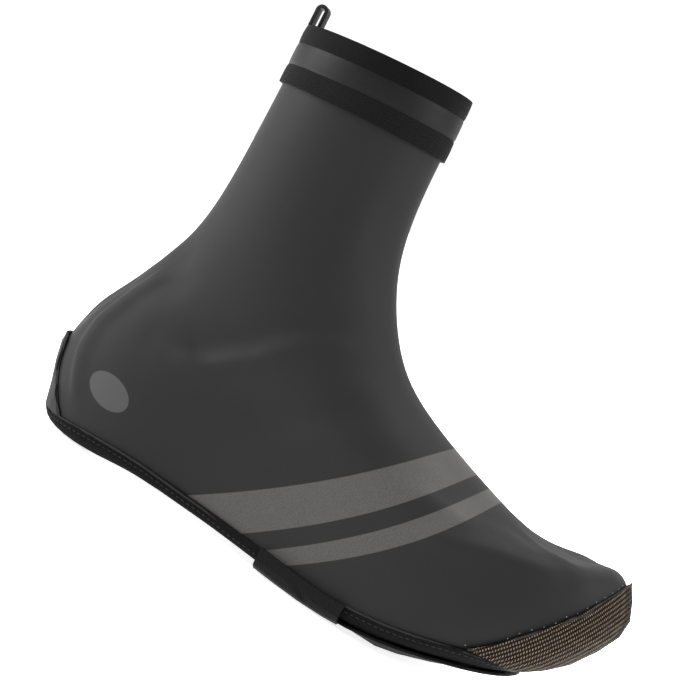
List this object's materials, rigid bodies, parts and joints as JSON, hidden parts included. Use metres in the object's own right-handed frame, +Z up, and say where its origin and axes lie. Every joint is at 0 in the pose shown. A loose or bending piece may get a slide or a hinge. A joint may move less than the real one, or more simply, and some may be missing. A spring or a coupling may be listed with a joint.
{
  "type": "neoprene overshoe",
  "caption": "Neoprene cycling overshoe for a right shoe, with an elastic collar cuff, a strap under the arch, a cleat opening and a ribbed toe guard.",
  "frame": {"origin": "middle of the overall footprint, on the surface the shoe stands on", "axes": "+X along the foot towards the toe, +Y towards the inner side of the foot, +Z up"},
  "size_m": [0.3004, 0.1068, 0.2389],
  "materials": {
    "neoprene": "matte charcoal fabric-faced neoprene with printed reflective stripes",
    "elastic": "black knitted elastic with a satin middle band",
    "binding": "black woven binding with a fine rib",
    "sole_fabric": "black coarse woven sole fabric",
    "toe_fabric": "brown and black ribbed aramid knit",
    "patch": "grey reflective patch with dark piping",
    "webbing": "black glossy webbing"
  },
  "bodies": {
    "root": {"upper": "neoprene", "collar_cuff": "elastic", "pull_loop": "webbing", "heel_patch": "patch", "hem_binding": "binding", "arch_strap": "sole_fabric", "sole_panel": "sole_fabric", "toe_guard": "toe_fabric"}
  },
  "joints": []
}
